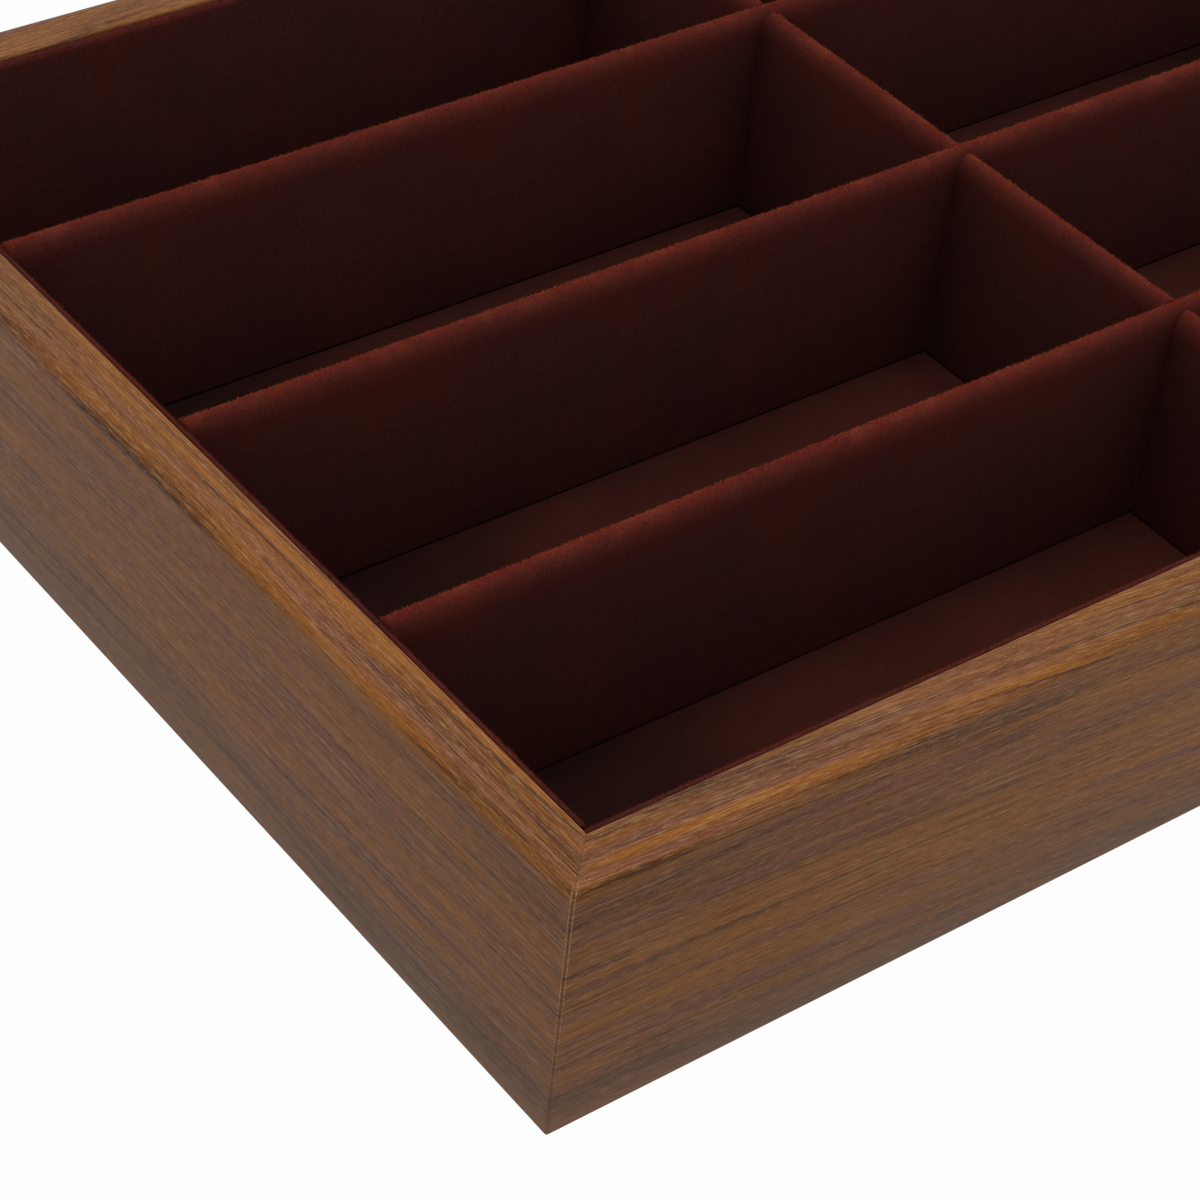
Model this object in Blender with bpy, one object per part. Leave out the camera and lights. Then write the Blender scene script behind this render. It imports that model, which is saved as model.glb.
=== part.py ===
# Sunglass organizer tray: a mitred frame of MDF mouldings wrapped in walnut film, with a hardboard
# base in its rebate, a velvet lining on card, and a half-lapped grid of velvet dividers that lift out.
# Metres, +Z up. The origin is the middle of the underside, the long side runs along X, and the
# front wall is on the -Y side.

import math

import bmesh
import bpy
from mathutils import Matrix, Vector

# Whole tray
TRAY_LENGTH = 0.3626
TRAY_WIDTH = 0.2450
TRAY_HEIGHT = 0.0508
ROW_PITCH = 0.0587  # from one long divider to the next
LONG_DIVIDERS = 3
FIT_GAP = 0.0003  # between two pieces that touch
CUT_OVERRUN = 0.0020  # how far a cutter passes the face that it opens

# Wall mouldings, over the film
WALL_THICKNESS = 0.0096
RIM_RADIUS = 0.0022  # rounded outer edge of the rim
RIM_INNER_RADIUS = 0.0006
FOOT_RADIUS = 0.0008
FILM_THICKNESS = 0.0004
REBATE_DEPTH = 0.0040

# Corner nails: steel sheet folded to a V, with a lip at the end of each leg
NAIL_LEG = 0.0038
NAIL_LIP = 0.0008
NAIL_LIP_ANGLE = math.radians(60)
NAIL_SHEET = 0.0005
NAIL_HEIGHT = 0.0120
NAIL_SINK = 0.0003  # how far the lower nail is pressed in past the underside

# Base and floor
BASE_RECESS = 0.0005
BASE_THICKNESS = 0.0025
FLOOR_CARD = 0.0012

# Velvet lining
VELVET_THICKNESS = 0.0006  # backing and pile
LINER_CARD = 0.0004
LINER_DROP = 0.0005  # top of the liners, below the rim
LINER_RADIUS = 0.0012

# Dividers
DIVIDER_CARD = 0.0020
DIVIDER_RADIUS = 0.0014  # rounded edges of their tops
LONG_DIVIDER_DROP = 0.0003  # top of the long dividers, below the rim
CROSS_DIVIDER_DROP = 0.0006
LAP_HEIGHT_SHARE = 0.5  # where the two half laps meet, up the divider

# Facets of the rounded edges
RIM_STEPS = 12
SMALL_EDGE_STEPS = 4
FOLD_STEPS = 6
SMOOTH_ANGLE = math.radians(35)

# Places worked out from the sizes above
CORE_INSET = FILM_THICKNESS + FIT_GAP  # from the film's face to the MDF
CORE_INNER = WALL_THICKNESS - CORE_INSET
REBATE_EDGE = CORE_INNER - REBATE_DEPTH
CORE_FOOT_EDGE = FOOT_RADIUS + FIT_GAP  # the film ends in a step in front of this
BASE_TOP = BASE_RECESS + BASE_THICKNESS
REBATE_HEIGHT = BASE_TOP + FIT_GAP
FLOOR_BOTTOM = BASE_TOP + FIT_GAP
COVER_THICKNESS = VELVET_THICKNESS + FIT_GAP  # velvet, and the gap to the card under it
FLOOR_TOP = FLOOR_BOTTOM + FLOOR_CARD + COVER_THICKNESS
FLOOR_INSET = WALL_THICKNESS + FIT_GAP
LINER_THICKNESS = LINER_CARD + COVER_THICKNESS
LINER_FACE = FLOOR_INSET + LINER_THICKNESS
LINER_HEIGHT = TRAY_HEIGHT - LINER_DROP
LINING_BOTTOM = FLOOR_TOP + FIT_GAP
DIVIDER_THICKNESS = DIVIDER_CARD + 2 * COVER_THICKNESS
SLOT_WIDTH = DIVIDER_THICKNESS + 2 * FIT_GAP
LONG_TOP = TRAY_HEIGHT - LONG_DIVIDER_DROP
CROSS_TOP = TRAY_HEIGHT - CROSS_DIVIDER_DROP
LAP_HEIGHT = LINING_BOTTOM + (CROSS_TOP - LINING_BOTTOM) * LAP_HEIGHT_SHARE
NAIL_LINE = (CORE_FOOT_EDGE + REBATE_EDGE - NAIL_LIP) / 2  # the legs, from the tray's outer faces

# Each side's turn about Z, its length, and how far its outer face stands from the centre
SIDES = {
    "front": (0, TRAY_LENGTH, TRAY_WIDTH / 2),
    "right": (90, TRAY_WIDTH, TRAY_LENGTH / 2),
    "back": (180, TRAY_LENGTH, TRAY_WIDTH / 2),
    "left": (270, TRAY_WIDTH, TRAY_LENGTH / 2),
}

# Each corner's turn about Z and the two directions in which it lies
CORNERS = {
    "front_left": (0, -1, -1),
    "front_right": (90, 1, -1),
    "back_right": (180, 1, 1),
    "back_left": (270, -1, 1),
}

# Colours are linear: base colour, roughness, metallic
FINISHES = {
    "mdf": ((0.330, 0.210, 0.115), 0.85, 0.0),
    "walnut_film": ((0.150, 0.075, 0.035), 0.50, 0.0),
    "hardboard": ((0.120, 0.060, 0.028), 0.70, 0.0),
    "nail_steel": ((0.420, 0.410, 0.390), 0.35, 1.0),
    "card": ((0.300, 0.270, 0.230), 0.90, 0.0),
    "velvet": ((0.045, 0.006, 0.005), 0.95, 0.0),
}


def clear_scene():
    for thing in list(bpy.data.objects):
        bpy.data.objects.remove(thing, do_unlink=True)


def add_finish(thing, finish):
    # Each piece has a material of its own.
    color, roughness, metallic = FINISHES[finish]
    material = bpy.data.materials.new(f"{thing.name}_{finish}")
    material.use_nodes = True
    shader = material.node_tree.nodes["Principled BSDF"]
    shader.inputs["Base Color"].default_value = (*color, 1)
    shader.inputs["Roughness"].default_value = roughness
    shader.inputs["Metallic"].default_value = metallic
    material.diffuse_color = (*color, 1)
    thing.data.materials.append(material)


def add_piece(name, shape, finish, place=(0, 0, 0), turn=0):
    # shape is a bmesh about the piece's own origin, and turn is in degrees about Z.
    bmesh.ops.recalc_face_normals(shape, faces=shape.faces)
    mesh = bpy.data.meshes.new(name)
    shape.to_mesh(mesh)
    shape.free()
    mesh.shade_smooth()
    mesh.set_sharp_from_angle(angle=SMOOTH_ANGLE)
    thing = bpy.data.objects.new(name, mesh)
    bpy.context.collection.objects.link(thing)
    thing.location = place
    thing.rotation_euler.z = math.radians(turn)
    if finish:
        add_finish(thing, finish)
    return thing


def add_cutter(name, shape, place=(0, 0, 0), turn=0):
    cutter = add_piece(name, shape, None, place, turn)
    cutter.hide_render = True
    cutter.display_type = "WIRE"
    return cutter


def cut_with(thing, cutter):
    cut = thing.modifiers.new(cutter.name, "BOOLEAN")
    cut.operation = "DIFFERENCE"
    cut.solver = "EXACT"
    cut.object = cutter


def turned(x, y, turn):
    return Matrix.Rotation(math.radians(turn), 3, "Z") @ Vector((x, y, 0))


def rounded(depth, height, radius, start, sweep, steps):
    # Points of an arc about (depth, height), from start degrees on. A radius of zero is a sharp corner.
    if radius <= 0:
        return [(depth, height)]
    angles = [math.radians(start + sweep * step / steps) for step in range(steps + 1)]
    return [(depth + radius * math.cos(a), height + radius * math.sin(a)) for a in angles]


def bar(outline, half_length, mitred=False):
    # The outline, in (depth, height), drawn out along X. A mitred bar gets shorter with depth.
    shape = bmesh.new()
    end = shape.faces.new([shape.verts.new((-1, depth, height)) for depth, height in outline])
    drawn = bmesh.ops.extrude_face_region(shape, geom=[end])
    bmesh.ops.translate(
        shape,
        vec=(2, 0, 0),
        verts=[item for item in drawn["geom"] if isinstance(item, bmesh.types.BMVert)],
    )
    for vert in shape.verts:
        vert.co.x *= half_length - vert.co.y if mitred else half_length
    return shape


def block(low, high):
    shape = bmesh.new()
    bmesh.ops.create_cube(shape, size=1)
    size = [b - a for a, b in zip(low, high)]
    middle = [(a + b) / 2 for a, b in zip(low, high)]
    bmesh.ops.scale(shape, vec=size, verts=shape.verts)
    bmesh.ops.translate(shape, vec=middle, verts=shape.verts)
    return shape


def side_place(side, depth):
    # The point at that depth behind the middle of a side's outer face, on the ground.
    turn, _, reach = SIDES[side]
    return turned(0, depth - reach, turn)


def moulding_line(inset):
    # The wrapped line of a wall seen from its end, so far inside the film's face: up the inner face
    # from the rebate, over the rim, down the outer face and round the foot.
    inner_radius = max(RIM_INNER_RADIUS - inset, 0)
    rim_radius = max(RIM_RADIUS - inset, 0)
    foot_radius = max(FOOT_RADIUS - inset, 0)
    inner = WALL_THICKNESS - inset
    top = TRAY_HEIGHT - inset
    return [
        (inner, REBATE_HEIGHT),
        *rounded(inner - inner_radius, top - inner_radius, inner_radius, 0, 90, SMALL_EDGE_STEPS),
        *rounded(inset + rim_radius, top - rim_radius, rim_radius, 90, 90, RIM_STEPS),
        *rounded(inset + foot_radius, inset + foot_radius, foot_radius, 180, 90, SMALL_EDGE_STEPS),
    ]


def wall_length(side):
    # Half of it along the outer face. The mitres of two walls stand FIT_GAP apart.
    return (SIDES[side][1] - math.sqrt(2) * FIT_GAP) / 2


def wall_core(side):
    outline = [
        (CORE_FOOT_EDGE, 0),
        (REBATE_EDGE, 0),
        (REBATE_EDGE, REBATE_HEIGHT),
        *moulding_line(CORE_INSET),
        (CORE_FOOT_EDGE, CORE_INSET),
    ]
    shape = bar(outline, wall_length(side), mitred=True)
    return add_piece(f"{side}_wall_core", shape, "mdf", side_place(side, 0), SIDES[side][0])


def wall_film(side):
    outline = moulding_line(0) + moulding_line(FILM_THICKNESS)[::-1]
    shape = bar(outline, wall_length(side), mitred=True)
    return add_piece(f"{side}_wall_film", shape, "walnut_film", side_place(side, 0), SIDES[side][0])


def ribbon(line, half_width, run_on=0):
    # The outline of a strip bent along a line of points, its two ends run on past the line's.
    line = [Vector(point) for point in line]
    line[0] += (line[0] - line[1]).normalized() * run_on
    line[-1] += (line[-1] - line[-2]).normalized() * run_on
    left = []
    right = []
    for here, point in enumerate(line):
        before = (point - line[here - 1]).normalized() if here else None
        after = (line[here + 1] - point).normalized() if here < len(line) - 1 else before
        before = before or after
        mid = (before + after).normalized()
        across = Vector((-mid.y, mid.x)) * half_width / mid.dot(after)
        left.append(point + across)
        right.append(point - across)
    return left + right[::-1]


def upright(outline, low, high):
    # An outline in plan, raised from low to high.
    shape = bmesh.new()
    foot = shape.faces.new([shape.verts.new((point.x, point.y, low)) for point in outline])
    raised = bmesh.ops.extrude_face_region(shape, geom=[foot])
    bmesh.ops.translate(
        shape,
        vec=(0, 0, high - low),
        verts=[item for item in raised["geom"] if isinstance(item, bmesh.types.BMVert)],
    )
    return shape


def nail_line():
    # Seen from above, with the fold at the origin and a leg in each wall.
    lip_out = NAIL_LIP * math.cos(NAIL_LIP_ANGLE)
    lip_in = NAIL_LIP * math.sin(NAIL_LIP_ANGLE)
    leg = [(NAIL_LEG, 0), (NAIL_LEG + lip_out, lip_in)]
    return [(y, x) for x, y in leg[::-1]] + [(0, 0)] + leg


def corner_nails(corner, cores):
    turn, side_x, side_y = CORNERS[corner]
    place = (
        side_x * (TRAY_LENGTH / 2 - NAIL_LINE),
        side_y * (TRAY_WIDTH / 2 - NAIL_LINE),
        0,
    )
    nails = []
    low = NAIL_SINK
    for level in ("lower", "upper"):
        shape = upright(ribbon(nail_line(), NAIL_SHEET / 2), low, low + NAIL_HEIGHT)
        nails.append(add_piece(f"corner_nail_{corner}_{level}", shape, "nail_steel", place, turn))
        low += NAIL_HEIGHT + FIT_GAP
    outline = ribbon(nail_line(), NAIL_SHEET / 2 + FIT_GAP, FIT_GAP)
    pocket = add_cutter(f"{corner}_pocket", upright(outline, -CUT_OVERRUN, low), place, turn)
    for side in corner.split("_"):
        cut_with(cores[side], pocket)
    return nails


def base_panel():
    inset = REBATE_EDGE + FIT_GAP
    half = (TRAY_LENGTH / 2 - inset, TRAY_WIDTH / 2 - inset)
    shape = block((-half[0], -half[1], BASE_RECESS), (half[0], half[1], BASE_TOP))
    return add_piece("base_panel", shape, "hardboard")


def floor_card():
    inset = FLOOR_INSET + COVER_THICKNESS
    half = (TRAY_LENGTH / 2 - inset, TRAY_WIDTH / 2 - inset)
    top = FLOOR_BOTTOM + FLOOR_CARD
    shape = block((-half[0], -half[1], FLOOR_BOTTOM), (half[0], half[1], top))
    return add_piece("floor_card", shape, "card")


def floor_velvet():
    # Turned down over the card's edges, so it is a shallow lid.
    half = (TRAY_LENGTH / 2 - FLOOR_INSET, TRAY_WIDTH / 2 - FLOOR_INSET)
    shape = block((-half[0], -half[1], FLOOR_BOTTOM), (half[0], half[1], FLOOR_TOP))
    underside = min(shape.faces, key=lambda face: face.calc_center_median().z)
    bmesh.ops.inset_region(shape, faces=[underside], thickness=VELVET_THICKNESS)
    raised = bmesh.ops.extrude_discrete_faces(shape, faces=[underside])
    for vert in raised["faces"][0].verts:
        vert.co.z = FLOOR_TOP - VELVET_THICKNESS
    return add_piece("floor_velvet", shape, "velvet")


def liner_line(inset):
    # A liner seen from its end, its back at zero: along the top and down the face.
    radius = max(LINER_RADIUS - inset, 0)
    face = LINER_THICKNESS - inset
    top = LINER_HEIGHT - inset
    return [
        (0, top),
        *rounded(face - radius, top - radius, radius, 90, -90, SMALL_EDGE_STEPS),
        (face, LINING_BOTTOM),
    ]


def liner(side):
    # The front and back liners run from wall to wall, and the side liners stand between them.
    turn, length, _ = SIDES[side]
    end_inset = FLOOR_INSET if side in ("front", "back") else LINER_FACE + FIT_GAP
    half_length = length / 2 - end_inset
    place = side_place(side, FLOOR_INSET)
    card_outline = [(0, LINING_BOTTOM), *liner_line(COVER_THICKNESS)]
    velvet_outline = liner_line(0) + liner_line(VELVET_THICKNESS)[::-1]
    card = add_piece(f"{side}_liner_card", bar(card_outline, half_length), "card", place, turn)
    cover = add_piece(f"{side}_liner_velvet", bar(velvet_outline, half_length), "velvet", place, turn)
    return [card, cover]


def divider_line(inset, height):
    # A divider seen from its end, folded over its top.
    half = DIVIDER_THICKNESS / 2 - inset
    radius = max(DIVIDER_RADIUS - inset, 0)
    fold = height - inset - radius
    return [
        (-half, 0),
        *rounded(radius - half, fold, radius, 180, -90, FOLD_STEPS),
        *rounded(half - radius, fold, radius, 90, -90, FOLD_STEPS),
        (half, 0),
    ]


def divider(name, height, half_length, place, turn):
    # The piece's origin is at the middle of its foot, on the line along which it lifts.
    card_shape = bar(divider_line(COVER_THICKNESS, height), half_length)
    outline = divider_line(0, height) + divider_line(VELVET_THICKNESS, height)[::-1]
    card = add_piece(f"{name}_card", card_shape, "card", place, turn)
    cover = add_piece(f"{name}_velvet", bar(outline, half_length), "velvet", place, turn)
    return [card, cover]


def divider_grid():
    rows = [(row - (LONG_DIVIDERS - 1) / 2) * ROW_PITCH for row in range(LONG_DIVIDERS)]
    reach = SLOT_WIDTH / 2

    cross_half = TRAY_WIDTH / 2 - LINER_FACE - FIT_GAP
    cross_place = (0, 0, LINING_BOTTOM)
    cross = divider("cross_divider", CROSS_TOP - LINING_BOTTOM, cross_half, cross_place, 90)
    for row, y in enumerate(rows):
        slot = block((-reach, y - reach, LAP_HEIGHT), (reach, y + reach, TRAY_HEIGHT + CUT_OVERRUN))
        cutter = add_cutter(f"cross_slot_{row + 1}", slot)
        for thing in cross:
            cut_with(thing, cutter)

    long_half = TRAY_LENGTH / 2 - LINER_FACE - FIT_GAP
    roof = LAP_HEIGHT + FIT_GAP
    for row, y in enumerate(rows):
        name = f"long_divider_{row + 1}"
        place = (0, y, LINING_BOTTOM)
        long = divider(name, LONG_TOP - LINING_BOTTOM, long_half, place, 0)
        slot = block((-reach, y - reach, LINING_BOTTOM - CUT_OVERRUN), (reach, y + reach, roof))
        cutter = add_cutter(f"{name}_slot", slot)
        for thing in long:
            cut_with(thing, cutter)


def build_tray():
    clear_scene()
    cores = {side: wall_core(side) for side in SIDES}
    for side in SIDES:
        wall_film(side)
        liner(side)
    for corner in CORNERS:
        corner_nails(corner, cores)
    base_panel()
    floor_card()
    floor_velvet()
    divider_grid()


build_tray()
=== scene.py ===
import math

import bpy
import numpy as np
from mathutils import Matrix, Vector, noise


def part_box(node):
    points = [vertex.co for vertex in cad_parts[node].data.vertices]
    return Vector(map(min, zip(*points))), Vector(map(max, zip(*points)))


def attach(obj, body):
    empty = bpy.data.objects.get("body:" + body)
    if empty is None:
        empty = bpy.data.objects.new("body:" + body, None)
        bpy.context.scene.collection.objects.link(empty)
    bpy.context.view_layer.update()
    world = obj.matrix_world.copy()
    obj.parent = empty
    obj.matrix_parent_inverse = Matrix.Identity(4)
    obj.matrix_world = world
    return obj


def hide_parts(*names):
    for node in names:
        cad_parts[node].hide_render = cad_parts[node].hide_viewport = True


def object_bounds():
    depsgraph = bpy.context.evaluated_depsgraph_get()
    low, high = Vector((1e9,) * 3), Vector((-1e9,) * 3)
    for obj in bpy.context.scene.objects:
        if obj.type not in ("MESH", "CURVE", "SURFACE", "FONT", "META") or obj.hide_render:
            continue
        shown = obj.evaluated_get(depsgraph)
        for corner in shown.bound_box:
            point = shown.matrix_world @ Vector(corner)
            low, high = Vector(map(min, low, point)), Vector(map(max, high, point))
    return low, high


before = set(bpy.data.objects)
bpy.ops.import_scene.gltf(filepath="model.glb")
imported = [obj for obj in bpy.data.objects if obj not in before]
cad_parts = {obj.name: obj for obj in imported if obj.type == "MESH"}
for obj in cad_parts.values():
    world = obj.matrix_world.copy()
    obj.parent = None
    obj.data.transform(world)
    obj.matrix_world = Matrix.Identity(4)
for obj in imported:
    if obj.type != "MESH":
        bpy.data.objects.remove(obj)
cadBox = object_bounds()
print("frame loaded:", len(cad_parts), "nodes")


# Helpers for meshes

def joinMesh(name, points, faces, material):
    mesh = bpy.data.meshes.new(name)
    mesh.from_pydata([tuple(point) for point in points], [], faces)
    mesh.materials.append(material)
    mesh.update()
    piece = bpy.data.objects.new(name, mesh)
    bpy.context.collection.objects.link(piece)
    return piece


def gridFaces(rows, columns, keep=None):
    # quads of a grid of points, or only those that keep marks
    index = np.arange(rows * columns).reshape(rows, columns)
    quads = np.stack([index[:-1, :-1], index[:-1, 1:], index[1:, 1:], index[1:, :-1]], axis=-1)
    chosen = quads.reshape(-1, 4) if keep is None else quads[keep]
    return chosen.tolist()


def writeMark(piece, name, values):
    # a value or a vector at each point, for the materials to read
    kind, field = ("FLOAT", "value") if values.ndim == 1 else ("FLOAT_VECTOR", "vector")
    marks = piece.data.attributes.new(name, kind, "POINT")
    marks.data.foreach_set(field, values.astype(np.float32).ravel())


def arc(depth, height, radius, start, sweep, steps):
    # points round (depth, height) from start degrees on
    turns = [math.radians(start + sweep * step / steps) for step in range(steps + 1)]
    return [(depth + radius * math.cos(turn), height + radius * math.sin(turn)) for turn in turns]


def spaced(low, high, step, marks=()):
    # stops from low to high no further apart than step, with every mark among them
    stops = sorted([low, high, *marks])
    spans = [np.linspace(a, b, max(int(math.ceil((b - a) / step)), 1), endpoint=False)
             for a, b in zip(stops, stops[1:])]
    return np.concatenate([*spans, [high]])


def placed(points, degrees, origin):
    # (along, depth, height) turned about Z and moved to origin
    turn = math.radians(degrees)
    along, depth, height = np.moveaxis(points, -1, 0)
    x = along * math.cos(turn) - depth * math.sin(turn) + origin[0]
    y = along * math.sin(turn) + depth * math.cos(turn) + origin[1]
    return np.stack([x, y, height + origin[2]], axis=-1)


def waver(points, millimetres, seed=0.0):
    # smooth noise from -1 to 1 at each point, its features this wide
    scale = 1000 / millimetres
    flat = points.reshape(-1, points.shape[-1]) * scale
    values = [noise.noise(Vector((*point[:2], (point[2] if len(point) > 2 else 0.0) + seed))) for point in flat]
    return np.array(values).reshape(points.shape[:-1])


# Helpers for materials

patternShift = 11.0  # between the places where two patterns take their noise
usualNoise = (0.25, 0.75)  # where nearly all values of a noise lie


def hexColor(code):
    # sRGB hex to the linear colour that the shaders take
    channels = [int(code[place:place + 2], 16) / 255 for place in (1, 3, 5)]
    linear = [c / 12.92 if c <= 0.04045 else ((c + 0.055) / 1.055) ** 2.4 for c in channels]
    return (*linear, 1.0)


def addNode(tree, kind, inputs=None, output=0, **settings):
    # an input is a number, a colour, or another node's socket to link from; gives the socket of its output
    node = tree.nodes.new("ShaderNode" + kind)
    for name, value in settings.items():
        setattr(node, name, value)
    for name, value in (inputs or {}).items():
        if isinstance(value, bpy.types.NodeSocket):
            tree.links.new(value, node.inputs[name])
        else:
            node.inputs[name].default_value = value
    return node.outputs[output]


def newMaterial(name, roughness, **sockets):
    material = bpy.data.materials.new(name)
    material.use_nodes = True
    shader = material.node_tree.nodes["Principled BSDF"]
    shader.inputs["Roughness"].default_value = roughness
    for socket, value in sockets.items():
        shader.inputs[socket.replace("_", " ")].default_value = value
    return material, material.node_tree, shader


def layPatterns(tree, patterns, place=None, start=3.0):
    # a noise for each (size in mm on each axis, detail, roughness), over a place in mm or over the piece itself
    unit = 1 if place else 1000
    place = place or addNode(tree, "TexCoord", output="Object")
    laid = {}
    for count, (name, (size, detail, roughness)) in enumerate(patterns.items()):
        scaled = addNode(tree, "Mapping", {
            "Vector": place, "Scale": [unit / length for length in size],
            "Location": [start + patternShift * count] * 3})
        laid[name] = addNode(tree, "TexNoise", {
            "Vector": scaled, "Scale": 1.0, "Detail": detail, "Roughness": roughness})
    return laid


def paint(tree, look, patterns):
    # coat over coat; a coat's strength is the product of what its stops give for its patterns
    colors = {name: hexColor(code) for name, code in look["colors"].items()}
    painted = colors["ground"]
    for color, rules in look["coats"]:
        strength = 1.0
        for pattern, stops in rules.items():
            level = addNode(tree, "ValToRGB", {"Fac": patterns[pattern]})
            ramp = level.node.color_ramp.elements
            for count, (value, share) in enumerate(stops.items()):
                stop = ramp[count] if count < 2 else ramp.new(value)
                stop.position = value
                stop.color = (share, share, share, 1)
            strength = addNode(tree, "Math", {0: strength, 1: level}, operation="MULTIPLY")
        painted = addNode(tree, "Mix", {0: strength, 6: painted, 7: colors[color]}, 2, data_type="RGBA")
    return painted


def dressShader(tree, shader, look, patterns):
    # colour, relief (pattern, strength, height in mm) and, where the look has it, gloss (pattern, low, high)
    tree.links.new(paint(tree, look, patterns), shader.inputs["Base Color"])
    pattern, strength, height = look["relief"]
    bump = addNode(tree, "Bump", {"Height": patterns[pattern], "Strength": strength, "Distance": height / 1000})
    tree.links.new(bump, shader.inputs["Normal"])
    if "gloss" in look:
        pattern, low, high = look["gloss"]
        uneven = addNode(tree, "MapRange", {
            "Value": patterns[pattern], "From Min": usualNoise[0], "From Max": usualNoise[1],
            "To Min": low, "To Max": high})
        tree.links.new(uneven, shader.inputs["Roughness"])


# Sizes that several pieces share, from the frame

trayLow, trayHigh = cadBox
trayLength = trayHigh.x - trayLow.x
trayWidth = trayHigh.y - trayLow.y
rimHeight = trayHigh.z
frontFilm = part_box("front_wall_film")
wallThickness = frontFilm[1].y - frontFilm[0].y

sides = {  # turn about Z in degrees, length, and distance of the outer face from the centre
    "front": (0, trayLength, trayWidth / 2),
    "right": (90, trayWidth, trayLength / 2),
    "back": (180, trayLength, trayWidth / 2),
    "left": (270, trayWidth, trayLength / 2),
}


def sideOrigin(side, depth=0.0):
    # the middle of a side, this far in from its outer face
    turn, _, reach = sides[side]
    return (math.sin(math.radians(turn)) * (reach - depth), -math.cos(math.radians(turn)) * (reach - depth), 0)


# Camera, fitted to the edges of the walls, the rim and the dividers in the photograph

photoView = {
    "place": (-0.41424, -0.39004, 0.39643),
    "turn": (50.434, -4.960, -36.813),  # degrees
    "lens": 104.93,
    "sensor": 36.0,
    "clip": (0.02, 20),  # nearest and furthest that it sees, m
}


def setCamera():
    data = bpy.data.cameras.new("photoCamera")
    data.lens = photoView["lens"]
    data.sensor_width = photoView["sensor"]
    data.clip_start, data.clip_end = photoView["clip"]
    camera = bpy.data.objects.new("photoCamera", data)
    camera.location = photoView["place"]
    camera.rotation_euler = [math.radians(angle) for angle in photoView["turn"]]
    bpy.context.collection.objects.link(camera)
    bpy.context.scene.camera = camera


setCamera()
print("camera set")


# Walnut-print film

walnut = {
    # the palest colour of the specks is a painted glint, and the grey-brown one laid at the foot a painted
    # reflection of the floor
    "colors": {
        "ground": "#985b22", "cool": "#774a28", "plum": "#704442", "warm": "#a2601c", "light": "#be9468",
        "dark": "#331706", "growthLine": "#422518", "speck": "#ccad85", "scuff": "#7a6757",
        "cutEdge": "#d2bc9c", "joint": "#2f1d11",
    },
    "wanderReach": 7.0,  # how far the grain wanders, mm
    "start": 190.0,  # another start lays out another grain
    # size along and across the grain and off the surface in mm, detail, roughness
    "wander": ((120.0, 20.0, 1.0), 1.0, 0.5),
    "patterns": {
        "streak": ((70.0, 2.0, 1.0), 3.0, 0.6),
        "growth": ((500.0, 8.0, 1.0), 1.5, 0.5),
        "thread": ((260.0, 3.6, 1.0), 1.0, 0.5),
        "tone": ((220.0, 12.0, 1.0), 2.0, 0.5),
        "broken": ((50.0, 6.0, 1.0), 1.0, 0.5),
        "band": ((110.0, 2.6, 1.0), 2.0, 0.5),
        "fibre": ((24.0, 0.26, 1.0), 3.0, 0.65),
        "dash": ((3.2, 0.17, 1.0), 2.0, 0.6),
        "patch": ((25.0, 4.0, 1.0), 1.0, 0.5),
        "speckle": ((0.45, 0.3, 1.0), 1.0, 0.5),
        "chip": ((0.5, 0.35, 1.0), 2.0, 0.5),
    },
    "coats": [  # colour, and its strength at some values of each pattern that it follows
        ("cool", {"tone": {0.38: 0, 0.64: 1}}),
        ("warm", {"streak": {0.50: 0, 0.72: 0.60}}),
        ("cool", {"streak": {0.28: 0.60, 0.48: 0}}),
        ("plum", {"band": {0.48: 0, 0.66: 0.65}}),
        ("growthLine", {"growth": {0.395: 0, 0.42: 0.50, 0.43: 0, 0.475: 0, 0.505: 0.70, 0.515: 0, 0.585: 0,
                                   0.61: 0.55, 0.62: 0},
                        "broken": {0.35: 0.3, 0.55: 1}}),
        ("growthLine", {"thread": {0.483: 0, 0.5: 0.85, 0.517: 0}, "broken": {0.42: 0, 0.52: 1}}),
        ("dark", {"fibre": {0.34: 0.60, 0.48: 0}, "patch": {0.38: 0.5, 0.62: 1}}),
        ("light", {"fibre": {0.53: 0, 0.70: 0.55}, "patch": {0.38: 0.5, 0.62: 1}}),
        ("dark", {"dash": {0.30: 0.45, 0.48: 0}}),
        ("light", {"dash": {0.52: 0, 0.70: 0.50}}),
        # painted highlight: pale specks that stand for the glints of the embossing
        ("speck", {"speckle": {0.68: 0, 0.78: 0.5}}),
        # painted reflection: the white floor's reflection, greying the film towards the foot
        ("scuff", {"foot": {0: 0, 1: 0.4}}),
        ("joint", {"jointShade": {0: 0, 1: 0.08}}),
        ("cutEdge", {"cutEdge": {0: 0, 1: 1}, "chip": {0.42: 0, 0.58: 1}}),
    ],
    "relief": ("dash", 0.5, 0.04),
    "gloss": ("fibre", 0.54, 0.40),
}


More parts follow.
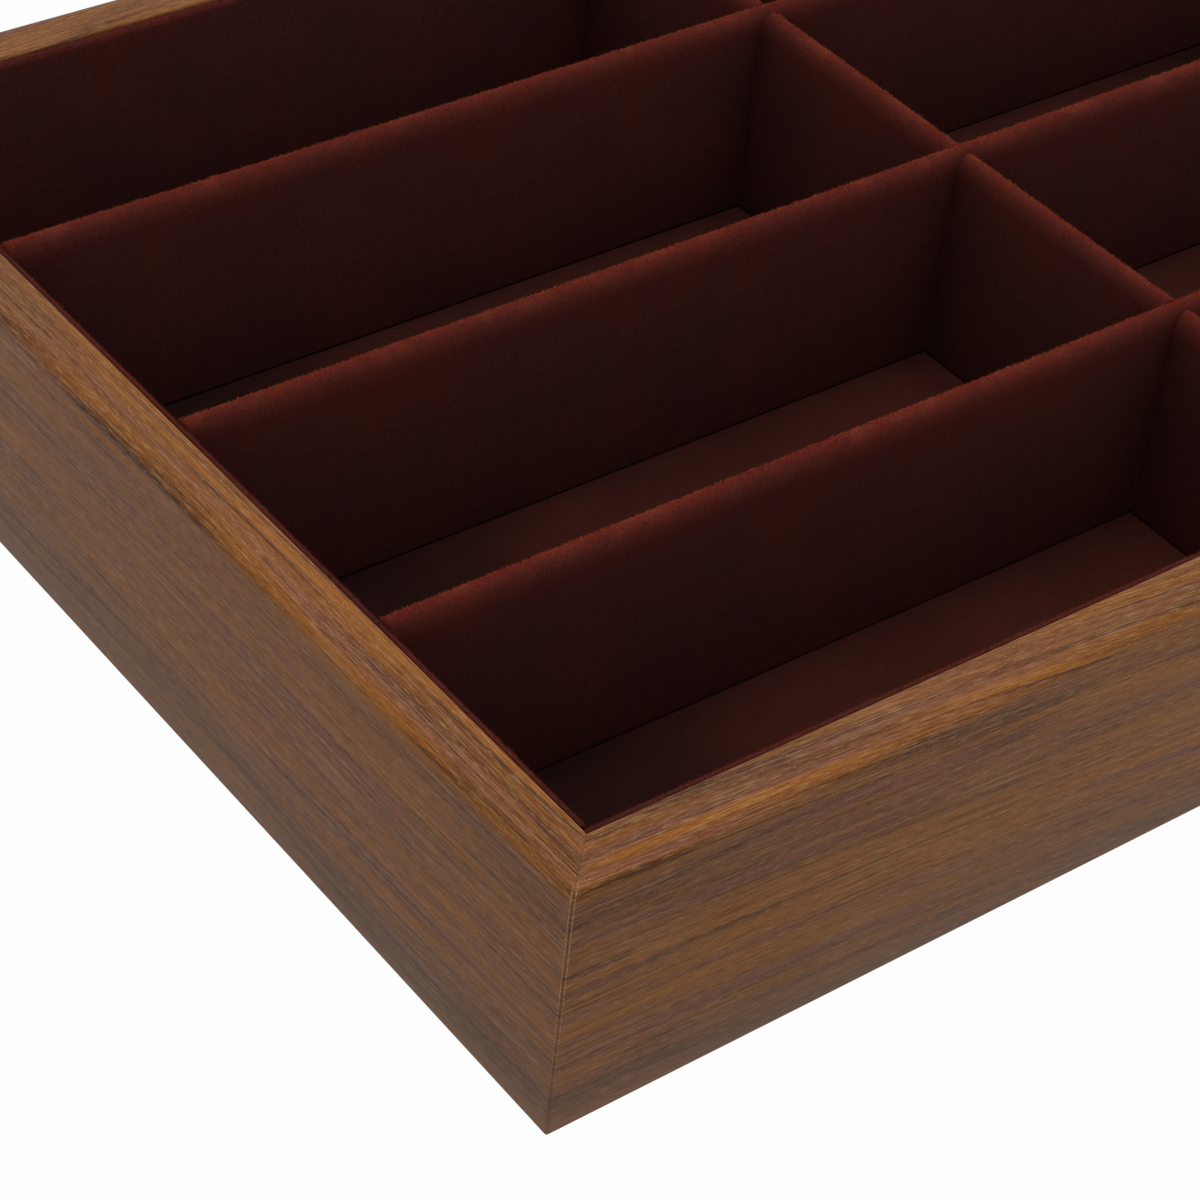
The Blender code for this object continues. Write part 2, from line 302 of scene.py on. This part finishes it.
def walnutFilm():
    # PVC film, printed with walnut grain, finely embossed and wrapped over the moulding by a hot roller. To the
    # eye: a satin brown with long wavering growth lines, hair-fine fibres and pores, and a gloss that the
    # embossing breaks up. Its glints are also painted in as pale specks, and the floor's reflection is painted
    # in as a grey veil towards the foot.
    material, tree, shader = newMaterial("walnutPrintFilm", 0.45, IOR=1.46, Specular_IOR_Level=0.13)
    place = addNode(tree, "Attribute", output="Vector", attribute_name="grainPlace")  # mm
    wander = layPatterns(tree, {"wander": walnut["wander"]}, place)["wander"]
    shift = addNode(tree, "Math", {0: wander, 1: walnut["wanderReach"]}, operation="MULTIPLY")
    flowing = addNode(tree, "VectorMath", {0: place, 1: addNode(tree, "CombineXYZ", {1: shift})})
    patterns = layPatterns(tree, walnut["patterns"], flowing, walnut["start"])
    # the floor's reflection painted in at the foot, the rubbed crease beside a corner's joint, and the strip
    # between it and the joint
    for mark in ("foot", "cutEdge", "jointShade"):
        patterns[mark] = addNode(tree, "Attribute", output="Fac", attribute_name=mark)
    dressShader(tree, shader, walnut, patterns)
    return material


film = {  # mm
    "innerRadius": 0.6, "rimRadius": 2.2, "footRadius": 0.8, "thickness": 0.35,
    "arcSteps": (5, 16, 5),  # round the inner, rim and foot radius
    "insideStop": 0.5, "faceStops": (0.7, 0.4, 0.15),  # shares of the rim's height where the section has points
    # shares of the wall's thickness, inwards: where the section starts to count as its face, and over how much
    "faceTurn": (0.24, 0.16),
    "faceBelow": 0.9,  # share of the rim's height under which all of the outer side counts so
    "gapOnRim": 0.02, "gapOnFace": 0.05,  # from the film's cut end to the corner
    "eased": 0.40, "sunk": 0.08,  # the film turns in this far from its cut end, which sinks this deep
    "crease": 0.14,  # half the width of the rubbed crease where it turns in
    "columns": (0.0, 0.12, 0.26, 0.40, 0.54, 0.9, 3.0),  # from each end
    # height where the crease and the strip beside the joint start to show, and over how much more they come to
    "shown": (10.0, 22.0),
    "jointRamp": 3,  # how fast the strip beside the joint comes to its full shade
    "scuffed": 9.0,  # how fast the painted reflection of the floor thins out upwards from the foot
    # of the grain, across for each along
    "drift": {"front": 0.075, "right": 0.03, "back": -0.04, "left": -0.012},
    "rebateClear": 0.3,
    "sharp": 40,  # degrees between two faces that meet in an edge
}


def filmLine():
    # (depth, height) from the rebate up the inner face, over the rim, down the outer face and round the foot
    inner, rim, foot = (film[name] / 1000 for name in ("innerRadius", "rimRadius", "footRadius"))
    bottom = frontFilm[0].z
    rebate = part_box("base_panel")[1].z + film["rebateClear"] / 1000
    innerSteps, rimSteps, footSteps = film["arcSteps"]
    line = [(wallThickness, rebate), (wallThickness, rimHeight * film["insideStop"])]
    line += arc(wallThickness - inner, rimHeight - inner, inner, 0, 90, innerSteps)
    line += arc(rim, rimHeight - rim, rim, 90, 90, rimSteps)
    line += [(0, rimHeight * share) for share in film["faceStops"]]
    line += arc(foot, bottom + foot, foot, 180, 90, footSteps)
    return np.array(line)


def wrapWall(side, material):
    turn, length, _ = sides[side]
    line = filmLine()
    walked = np.concatenate([[0], np.cumsum(np.linalg.norm(np.diff(line, axis=0), axis=1))])
    rimStart = walked[np.argmax(line[:, 1] > rimHeight - 1e-7)]
    # 0 on the rim and the inner face, 1 where the line has turned down the outer face
    begin, span = (wallThickness * share for share in film["faceTurn"])
    onFace = np.clip((begin - line[:, 0]) / span, 0, 1)
    onFace[(line[:, 1] < rimHeight * film["faceBelow"]) & (line[:, 0] < wallThickness / 2)] = 1
    gap = (film["gapOnRim"] + (film["gapOnFace"] - film["gapOnRim"]) * onFace) / 1000
    end = length / 2 - line[:, 0] - gap

    offsets = np.array(film["columns"]) / 1000
    along = end[None, :] - offsets[:, None]
    along = np.concatenate([-along, along[::-1]])
    fromEnd = np.concatenate([offsets, offsets[::-1]])
    easing = np.clip(1 - fromEnd * 1000 / film["eased"], 0, 1)[:, None] * onFace
    depth = line[None, :, 0] + easing * film["sunk"] / 1000
    height = np.broadcast_to(line[:, 1], along.shape)
    points = placed(np.stack([along, depth, height], axis=-1), turn, sideOrigin(side))
    piece = joinMesh(f"{side}WallFilm", points.reshape(-1, 3), gridFaces(*along.shape), material)

    # the print runs round the corners from the front left one, as on mouldings cut from one length
    past = {"front": 0, "right": trayLength, "back": trayLength + trayWidth, "left": -trayWidth}[side]
    run = (along + length / 2 + past) * 1000
    across = (walked - rimStart) * 1000 - film["drift"][side] * run
    writeMark(piece, "grainPlace", np.stack([run, across, np.zeros_like(run)], axis=-1).reshape(-1, 3))
    lowest, span = film["shown"]
    fade = np.clip((line[:, 1] * 1000 - lowest) / span, 0, 1)
    crease = np.clip(1 - np.abs(fromEnd * 1000 - film["eased"]) / film["crease"], 0, 1)[:, None]
    writeMark(piece, "cutEdge", (crease * onFace * fade).ravel())
    writeMark(piece, "jointShade", (np.clip(easing * film["jointRamp"], 0, 1) * fade).ravel())
    # painted reflection of the floor, strongest at the foot of the outer face
    foot = np.exp(-line[:, 1] * 1000 / film["scuffed"]) * (line[:, 0] < wallThickness / 2)
    writeMark(piece, "foot", np.broadcast_to(foot, along.shape).ravel())

    shell = piece.modifiers.new("filmThickness", "SOLIDIFY")
    shell.thickness = film["thickness"] / 1000
    shell.offset = -1
    piece.data.shade_smooth()
    piece.data.set_sharp_from_angle(angle=math.radians(film["sharp"]))
    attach(piece, "tray")
    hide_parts(f"{side}_wall_film")


filmMaterial = walnutFilm()
for side in sides:
    wrapWall(side, filmMaterial)
print("walls wrapped in film")


# Velvet

velvet = {
    # the crest and pale colours paint the pile's sheen over edges and at stray fibres' ends; the near-black one
    # serves both for the dark between tufts and for painted shade
    "colors": {
        "ground": "#421a11", "standing": "#492422", "brushed": "#53251e", "crest": "#721f0a", "tip": "#c06548",
        "hollow": "#120605", "lint": "#a08c84",
    },
    "sheen": "#c04e2e",
    "patterns": {  # size in mm, detail, roughness
        "patch": ((18.0, 18.0, 18.0), 3.0, 0.5),
        "tuft": ((0.55, 0.55, 0.55), 4.0, 0.7),
        "smear": ((9.0, 9.0, 9.0), 2.0, 0.6),
        "fleck": ((0.3, 0.3, 0.3), 1.0, 0.5),
    },
    "coats": [  # colour, and its strength at some values of each pattern that it follows
        ("standing", {"lift": {0: 0, 0.25: 1}}),
        ("brushed", {"patch": {0.38: 0, 0.65: 1}, "lift": {0: 0.3, 0.25: 1}}),
        # painted sheen: rust red where the pile turns over a divider's or a liner's crest
        ("crest", {"lift": {0.25: 0, 0.38: 0.20, 0.45: 0.28, 0.54: 0.55, 0.6: 1}}),
        # painted sheen: pale smears near the crest and pale ends on stray fibres
        ("tip", {"smear": {0.48: 0, 0.72: 0.18}, "lift": {0.40: 0, 0.58: 1}}),
        ("tip", {"lift": {0.6: 0, 1: 1}}),
        ("hollow", {"tuft": {0.33: 0.4, 0.57: 0}}),
        # painted shade: darker into corners, down to the dividers' feet, beside the rows and towards the end
        # walls
        ("hollow", {"corner": {0: 0, 0.35: 0.55, 1: 0.9}}),
        ("lint", {"fleck": {0.80: 0, 0.84: 0.5}}),
    ],
    "relief": ("tuft", 0.8, 0.2),
}


def cutVelvet():
    # Rayon velvet, woven face to face and cut apart, so a short dense pile stands on its backing. To the eye:
    # nearly black wine red seen down into the pile, rust red where the pile fans open over an edge, and a pale
    # bloom where it is seen from its side; that rust red and bloom are painted sheen on top of the shader's own
    # sheen, and its corners and feet carry painted shade.
    material, tree, shader = newMaterial("cutVelvet", 0.9, Specular_IOR_Level=0.10, Sheen_Weight=0.25,
                                         Sheen_Roughness=0.25, Sheen_Tint=hexColor(velvet["sheen"]))
    patterns = layPatterns(tree, velvet["patterns"])
    # how the pile lies, which also brings in painted sheen over crests, and the painted shade in corners, at
    # the feet and towards the end walls
    patterns["lift"] = addNode(tree, "Attribute", output="Fac", attribute_name="pileLift")
    patterns["corner"] = addNode(tree, "Attribute", output="Fac", attribute_name="cornerShade")
    dressShader(tree, shader, velvet, patterns)
    return material


pile = {  # mm
    "thickness": 0.7,
    # how the pile lies, for its colour: 0 pressed, 1 the end of a stray fibre; the higher values, over a crest
    # and at fibre ends, bring in painted sheen
    "pressed": 0.0, "standing": 0.25, "fanned": 0.6, "tip": 1.0,
    # how wide the noise's features are that each of them follows, and where it starts
    "waves": {"open": (14.0, 3.0), "relief": (0.6, 1.0), "uneven": (22.0, 8.0), "dip": (28.0, 1.3),
              "pressed": (30.0, 5.0)},
    "relief": 0.10,  # of tufts over an edge
    "unevenness": 0.07,
    "openReach": 5.0,  # how fast the pile closes away from a divider's crest, and the painted sheen fades with it
    "openVaries": 0.35,  # share by which that reach grows and shrinks
    "step": 0.4,
    # of a divider: height and fullness on the side that the pile is brushed towards, and on the other
    "crests": ((2.2, 3.0), (3.8, 2.0)),
    "crestSteps": 11, "crestShift": 4,  # in points, towards the first of them
    "sideDrops": (0.4, 0.9, 1.5, 2.2, 3.1, 4.3, 6.0, 8.5, 12, 17, 23, 30, 36),  # of the points under the crest
    "footRows": (0.4, 3.4),  # points this far above the foot, so that the shading turns under only there
    "endRadius": 0.5, "endReach": 0.2,
    "slotGap": {"long": 0.3, "cross": 0.08},  # between a divider's slot and the divider that crosses it
    "linerRadius": 1.2, "linerSteps": 6, "linerOpenness": 0.55, "linerReach": 1.2,
    "linerDrops": (0, 0.4, 0.9, 1.5, 2.3, 3.5, 6, 11, 19, 29, 38),  # of its points under the rounding
    "linerCrest": 3,  # points from the end of the rounding to where the pile opens most
    "linerFoot": 0.25,  # how far the pile of a liner hangs below its card, down to the floor
    "floorStep": 1.6, "floorInset": 0.2, "floorDip": 0.08,
    "floorPressed": 0.2,  # how far the floor's pile comes up, as a share of standing
    "floorThickness": 0.8,  # share of the height of its solid
    "crowded": {  # how far the painted shade reaches, how dark it gets at most, and how suddenly it fades
        "corner": (6.0, 0.28, 1), "foot": (11.0, 0.27, 1), "floor": (7.5, 0.28, 1), "end": (56.0, 0.75, 6),
    },
}
nap = {  # stray fibres along the edges; sizes in mm, drawn a little stout so that they show
    "perSquare": 6.5, "span": 1.7, "length": (0.22, 0.55), "width": 0.14, "lean": 0.7,
}
random = np.random.default_rng(7)


def raiseNap(name, roots, outward, openness, body, material):
    # each fibre is a three-sided spike that leans any way from the surface
    count = len(roots)
    lean = random.normal(0, nap["lean"], (count, 3))
    lean -= (lean * outward).sum(axis=1, keepdims=True) * outward
    grow = outward + lean
    grow /= np.linalg.norm(grow, axis=1, keepdims=True)
    first = np.cross(grow, random.normal(0, 1, (count, 3)))
    first /= np.linalg.norm(first, axis=1, keepdims=True)
    second = np.cross(grow, first)
    radius = nap["width"] / 2000
    corners = [roots + radius * (math.cos(angle) * first + math.sin(angle) * second - outward)
               for angle in (0, math.tau / 3, 2 * math.tau / 3)]
    tips = roots + grow * random.uniform(*nap["length"], (count, 1)) / 1000
    points = np.stack([*corners, tips], axis=1)
    faces = [[start + corner for corner in face] for start in range(0, 4 * count, 4)
             for face in ((0, 2, 1), (0, 1, 3), (1, 2, 3), (2, 0, 3))]
    piece = joinMesh(name, points.reshape(-1, 3), faces, material)
    # painted sheen: roots near a crest take its rust red, the fibre ends the pale colour of their bloom
    lift = pile["standing"] + (np.array([pile["fanned"]] * 3 + [pile["tip"]]) - pile["standing"]) * openness
    writeMark(piece, "pileLift", np.tile(lift, count))
    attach(piece, body)
    return piece


def dressVelvet(piece, body, node, thickness):
    backing = piece.modifiers.new("backing", "SOLIDIFY")
    backing.thickness = thickness
    backing.offset = -1
    piece.data.shade_smooth()
    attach(piece, body)
    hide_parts(node)


def pileWaves(points, kind):
    size, start = pile["waves"][kind]
    return waver(points, size, start)


def paintedShadeFade(apart, where):
    # painted shade, which fades with the distance from a corner, a divider's foot or an end wall
    reach, most, steepness = pile["crowded"][where]
    return most * np.exp(-(np.clip(apart, 0, None) * 1000 / reach) ** steepness)


def coverEdge(node, body, turn, origin, line, crest, half, material, openness=1.0, openReach=None, corners=(),
              notches=(), slotHalf=0.0, cutLevel=None, capped=False):
    # cloth folded over a board's edge. line is its section, (depth, height) points with the outside on their
    # right; crest is the point where the pile opens most; cutLevel tells which rows the notches take away
    line = np.array(line)
    walked = np.concatenate([[0], np.cumsum(np.linalg.norm(np.diff(line, axis=0), axis=1))])
    fromCrest = walked - walked[crest]
    step = np.gradient(line, axis=0)
    normals = np.stack([step[:, 1], -step[:, 0]], axis=-1)
    normals /= np.linalg.norm(normals, axis=1, keepdims=True)
    edges = [centreLine + sign * slotHalf for centreLine in notches for sign in (-1, 1)]
    along = spaced(-half, half, pile["step"] / 1000, edges)

    cloth = np.stack(np.meshgrid(along, fromCrest, indexing="ij"), axis=-1)
    reach = openReach or pile["openReach"]
    reach = reach * (1 + pile["openVaries"] * pileWaves(cloth[:, 0] * (1, 0), "open"))
    opened = openness * np.exp(-np.abs(cloth[..., 1]) * 1000 / reach[:, None])
    relief = pile["relief"] * pileWaves(cloth, "relief") * opened
    relief += pile["unevenness"] * pileWaves(cloth, "uneven")
    if capped:
        radius = pile["endRadius"]
        fromEnd = np.minimum((half - np.abs(along)) * 1000, radius)[:, None]
        relief = relief * fromEnd / radius - radius + np.sqrt(radius ** 2 - (radius - fromEnd) ** 2)
    section = line + normals * relief[..., None] / 1000
    points = placed(np.concatenate([cloth[..., :1], section], axis=-1), turn, origin)

    middle = (along[1:] + along[:-1]) / 2
    level = (line[1:, 1] + line[:-1, 1]) / 2
    inNotch = np.zeros(len(middle), dtype=bool)
    for centreLine in notches:
        inNotch |= np.abs(middle - centreLine) < slotHalf
    cutRows = cutLevel(level) if cutLevel else np.zeros(len(level), dtype=bool)
    faces = gridFaces(*opened.shape, ~(inNotch[:, None] & cutRows[None, :]))
    if capped:
        last = len(line) - 1
        for row in range((last + 1) // 2):
            cap = list(dict.fromkeys([row, row + 1, last - row - 1, last - row]))
            faces.append(cap[::-1])
            faces.append([point + (len(along) - 1) * len(line) for point in cap])
    used = np.unique(np.concatenate([np.array(face) for face in faces]))
    fresh = np.zeros(opened.size, dtype=int)
    fresh[used] = np.arange(len(used))
    faces = [fresh[face].tolist() for face in faces]
    name = "".join(word.capitalize() if place else word for place, word in enumerate(node.split("_")))
    piece = joinMesh(name, points.reshape(-1, 3)[used], faces, material)
    # painted sheen: the colour turns rust red where the pile opens over the crest
    lift = pile["standing"] + (pile["fanned"] - pile["standing"]) * opened
    writeMark(piece, "pileLift", lift.ravel()[used])
    # painted shade: darker towards the corners and the foot, less where the pile opens
    apart = np.min([np.abs(along - corner) for corner in (-half, half, *corners)], axis=0) - dividerHalf
    crowded = paintedShadeFade(apart, "corner")[:, None] + paintedShadeFade(line[:, 1] - floorLevel, "foot")[None, :]
    writeMark(piece, "cornerShade", (crowded * (1 - opened)).ravel()[used])

    span = min(nap["span"], (walked[-1] - walked[crest]) * 1000, walked[crest] * 1000)
    count = int(2 * half * 2 * span * 1000 * nap["perSquare"])
    at = random.uniform(-half, half, count)
    if cutRows[crest]:
        at = at[~np.any([np.abs(at - centreLine) < slotHalf for centreLine in notches], axis=0)]
    up = random.uniform(-span, span, len(at)) / 1000
    roots = np.stack([at, *(np.interp(up, fromCrest, line[:, axis]) for axis in (0, 1))], axis=-1)
    outward = np.stack([at * 0, *(np.interp(up, fromCrest, normals[:, axis]) for axis in (0, 1))], axis=-1)
    outward /= np.linalg.norm(outward, axis=1, keepdims=True)
    fibres = raiseNap(name + "Nap", placed(roots, turn, origin), placed(outward, turn, (0, 0, 0)), openness,
                      body, material)
    dressVelvet(piece, body, node,
                pile["thickness"] / 1000)


def coverDivider(node, body, turn, notches, slotHalf, cutLevel, material):
    low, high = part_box(node)
    size = high - low
    half, reach = (size.y / 2, size.x / 2) if turn == 0 else (size.x / 2, size.y / 2)
    drops = np.array(pile["sideDrops"]) / 1000
    foot = low.z + np.array([0, *pile["footRows"]]) / 1000
    halves = []
    for height, fullness in pile["crests"]:
        tall = height / 1000
        section = [(half, level) for level in sorted({*(high.z - tall - drops), lapHeight, *foot})]
        # a quarter of an ellipse, or fuller than a true one
        for angle in np.linspace(0, math.pi / 2, pile["crestSteps"] + 1)[1:]:
            section.append((half * math.cos(angle) ** (2 / fullness),
                            high.z - tall + tall * math.sin(angle) ** (2 / fullness)))
        halves.append(section)
    # the pile is brushed towards +Y on the long dividers, and towards +X on the cross divider
    first, second = halves[::-1] if turn else halves
    line = first + [(-depth, level) for depth, level in second[-2::-1]]
    origin = ((low.x + high.x) / 2, (low.y + high.y) / 2, 0)
    crest = len(line) // 2 + (pile["crestShift"] if turn else -pile["crestShift"])
    coverEdge(node, body, turn, origin, line, crest, reach + pile["endReach"] / 1000, material,
              corners=notches, notches=notches, slotHalf=slotHalf, cutLevel=cutLevel, capped=True)


def coverLiner(side, material):
    turn, _, reach = sides[side]
    node = f"{side}_liner_velvet"
    low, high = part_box(node)
    size = high - low
    thick, run = (size.y, size.x) if turn % 180 == 0 else (size.x, size.y)
    middle = (low + high) / 2
    outer = reach - abs(middle.y if turn % 180 == 0 else middle.x) - thick / 2
    radius = pile["linerRadius"] / 1000
    drops = np.array(pile["linerDrops"]) / 1000
    line = [(thick, low.z - pile["linerFoot"] / 1000), (thick, low.z)]
    line += [(thick, high.z - radius - drop) for drop in drops[::-1]]
    line += arc(thick - radius, high.z - radius, radius, 0, 90, pile["linerSteps"])[1:]
    crest = len(line) - pile["linerCrest"]
    line += [((thick - radius) * share, high.z) for share in (0.5, 0)]
    coverEdge(node, "tray", turn, sideOrigin(side, outer), line, crest, run / 2, material,
              openness=pile["linerOpenness"], openReach=pile["linerReach"],
              corners=[0.0] if turn % 180 == 0 else rowLines)


def layFloor(material):
    low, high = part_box("floor_velvet")
    inset = pile["floorInset"] / 1000
    acrossX = spaced(low.x + inset, high.x - inset, pile["floorStep"] / 1000)
    acrossY = spaced(low.y + inset, high.y - inset, pile["floorStep"] / 1000)
    flat = np.stack(np.meshgrid(acrossX, acrossY, indexing="ij"), axis=-1)
    dip = pile["floorDip"] / 1000
    height = high.z - dip + dip * pileWaves(flat, "dip")
    height[[0, -1], :] = height[:, [0, -1]] = low.z + inset  # tucked down at the walls
    points = np.concatenate([flat, height[..., None]], axis=-1)
    faces = [face[::-1] for face in gridFaces(*height.shape)]
    piece = joinMesh("floorVelvet", points.reshape(-1, 3), faces, material)
    risen = pile["standing"] * pile["floorPressed"] * (1 + pileWaves(flat, "pressed").ravel())
    writeMark(piece, "pileLift", pile["pressed"] + risen)
    x, y = flat[..., 0], flat[..., 1]
    # painted shade: darker beside the dividers and the front and back walls, and over a long reach towards the
    # end walls
    rows = [low.y, high.y, *rowLines]
    crowded = paintedShadeFade(np.min([np.abs(y - row) - dividerHalf for row in rows], axis=0), "floor")
    crowded += paintedShadeFade(np.minimum(x - low.x, high.x - x) - (crossLow.y - low.y), "end")
    writeMark(piece, "cornerShade", crowded.ravel())
    dressVelvet(piece, "tray", "floor_velvet",
                (high.z - low.z) * pile["floorThickness"])


velvetMaterial = cutVelvet()
crossLow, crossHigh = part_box("cross_divider_velvet")
lapHeight = (crossLow.z + crossHigh.z) / 2
dividerHalf = (crossHigh.x - crossLow.x) / 2
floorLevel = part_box("floor_velvet")[1].z
longHalf, crossHalf = (dividerHalf + pile["slotGap"][kind] / 1000 for kind in ("long", "cross"))
rowLines = []
for row in (1, 2, 3):
    node = f"long_divider_{row}_velvet"
    rowLow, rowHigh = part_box(node)
    rowLines.append((rowLow.y + rowHigh.y) / 2)
    coverDivider(node, f"long_divider_{row}", 0, [0.0], longHalf, lambda level: level < lapHeight,
                 velvetMaterial)
# the pile of the cross divider fills its notches up to the long dividers
coverDivider("cross_divider_velvet", "cross_divider", 90, rowLines, crossHalf, lambda level: level > lapHeight,
             velvetMaterial)
for side in sides:
    coverLiner(side, velvetMaterial)
layFloor(velvetMaterial)
print("velvet laid")


# What the coverings hide, seen from below or with the dividers lifted out

def mdf():
    # Medium density fibreboard, sawn and moulded: a pale tan felt of fine fibres, faintly furry where it is cut
    look = {
        "colors": {"ground": "#a98a62", "fibre": "#7e6040", "fleck": "#c9ae86"},
        "patterns": {"felt": ((0.9, 0.9, 0.25), 4.0, 0.7)},
        "coats": [("fibre", {"felt": {0.38: 0.8, 0.57: 0}}), ("fleck", {"felt": {0.61: 0, 0.73: 0.7}})],
        "relief": ("felt", 0.5, 0.1),
    }
    material, tree, shader = newMaterial("mouldedMdf", 0.85, IOR=1.45)
    dressShader(tree, shader, look, layPatterns(tree, look["patterns"]))
    return material


def screenBackHardboard():
    # Hardboard pressed wet on a wire screen: dark brown, and on its underside the print of the wires
    look = {
        "colors": {"ground": "#6b4a30", "dark": "#4a3220", "fibre": "#8d6a48"},
        "patterns": {"felt": ((1.6, 1.6, 1.6), 4.0, 0.7)},
        "coats": [("dark", {"felt": {0.34: 0.7, 0.56: 0}}), ("fibre", {"felt": {0.62: 0, 0.77: 0.6}}),
                  ("dark", {"wirePrint": {0.2: 0.45, 0.8: 0}})],
        "relief": ("wirePrint", 0.7, 0.25),
        "wire": 1.6,  # mm from wire to wire
    }
    material, tree, shader = newMaterial("screenBackHardboard", 0.7, IOR=1.45)
    patterns = layPatterns(tree, look["patterns"])
    place = addNode(tree, "TexCoord", output="Object")
    repeats = 20  # of a wave, in tau of its scaled place
    wires = [addNode(tree, "TexWave", {
        "Vector": place, "Scale": 1000 / look["wire"] * math.tau / repeats, "Distortion": 0.6, "Detail": 1.0,
        "Detail Scale": 2.0}, "Fac", bands_direction=axis) for axis in "XY"]
    patterns["wirePrint"] = addNode(tree, "Math", {0: wires[0], 1: wires[1]}, operation="MULTIPLY")
    dressShader(tree, shader, look, patterns)
    return material


def nailSteel():
    # Galvanised strip steel, rolled and slit: dull bluish grey with fine lines along the strip
    look = {
        "colors": {"ground": "#a3a8ab", "dull": "#7d8285"},
        "patterns": {"line": ((0.15, 0.15, 6.0), 3.0, 0.5), "spangle": ((2.5, 2.5, 2.5), 2.0, 0.5)},
        "coats": [("dull", {"spangle": {0.38: 0, 0.62: 1}})],
        "relief": ("line", 0.2, 0.02),
        "gloss": ("line", 0.34, 0.52),
    }
    material, tree, shader = newMaterial("galvanisedStrip", 0.42, Metallic=1.0)
    dressShader(tree, shader, look, layPatterns(tree, look["patterns"]))
    return material


def greyBoard():
    # Grey board, pressed from waste paper: warm grey, flecked with darker and paler fibres
    look = {
        "colors": {"ground": "#8b8277", "dark": "#5f574e", "pale": "#aba294"},
        "patterns": {"fleck": ((1.2, 1.2, 0.4), 3.0, 0.6)},
        "coats": [("dark", {"fleck": {0.31: 0.8, 0.43: 0}}), ("pale", {"fleck": {0.60: 0, 0.70: 0.8}})],
        "relief": ("fleck", 0.3, 0.05),
    }
    material, tree, shader = newMaterial("greyBoard", 0.88, IOR=1.45)
    dressShader(tree, shader, look, layPatterns(tree, look["patterns"]))
    return material


hidden = {"wall_core": mdf(), "base_panel": screenBackHardboard(), "nail": nailSteel(), "card": greyBoard()}
for node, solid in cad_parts.items():
    for kind, material in hidden.items():
        if kind in node:
            solid.material_slots[0].material = material
print("boards and nails finished")


# The stage: a pale floor that shows white, a white surround and a large softbox overhead

stage = {
    "floor": "#c4c4c2", "shownWhite": 0.98,  # share of plain white in the floor where it is looked at
    "floorHalf": 4.0,  # m
    "floorDrop": 0.1,  # mm
    "surround": 0.40,
    "softbox": {"place": (-0.15, -0.22, 1.25), "size": 1.0, "watts": 7.8},
}


def lookedAt(tree):
    # 1 for the camera, a reflection or a view through glass, and 0 for what only lights
    path = addNode(tree, "LightPath").node
    seen = path.outputs["Is Camera Ray"]
    for ray in ("Is Glossy Ray", "Is Transmission Ray"):
        seen = addNode(tree, "Math", {0: seen, 1: path.outputs[ray]}, operation="MAXIMUM")
    return seen


def setStage():
    material, tree, shader = newMaterial("paleFloor", 0.9)
    shader.inputs["Base Color"].default_value = hexColor(stage["floor"])
    white = addNode(tree, "Emission", {"Color": (1, 1, 1, 1), "Strength": 1.0})
    share = addNode(tree, "Math", {0: lookedAt(tree), 1: stage["shownWhite"]}, operation="MULTIPLY")
    mixed = addNode(tree, "MixShader", {0: share, 1: shader.outputs[0], 2: white})
    tree.links.new(mixed, tree.nodes["Material Output"].inputs["Surface"])
    half, level = stage["floorHalf"], -stage["floorDrop"] / 1000
    corners = [(-half, -half, level), (half, -half, level), (half, half, level), (-half, half, level)]
    joinMesh("stageFloor", corners, [[0, 1, 2, 3]], material)

    world = bpy.data.worlds.new("whiteSurround")
    world.use_nodes = True
    bpy.context.scene.world = world
    brightness = addNode(world.node_tree, "MapRange", {
        "Value": lookedAt(world.node_tree), "To Min": stage["surround"], "To Max": 1.0})
    background = world.node_tree.nodes["Background"]
    background.inputs["Color"].default_value = (1, 1, 1, 1)
    world.node_tree.links.new(brightness, background.inputs["Strength"])

    softbox = stage["softbox"]
    lamp = bpy.data.lights.new("softbox", "AREA")
    lamp.energy = softbox["watts"]
    lamp.size = softbox["size"]
    holder = bpy.data.objects.new("softbox", lamp)
    holder.location = softbox["place"]
    holder.rotation_euler = (-Vector(softbox["place"])).to_track_quat("-Z", "Y").to_euler()
    bpy.context.collection.objects.link(holder)
    bpy.context.scene.view_settings.view_transform = "Standard"


setStage()
print("stage set")
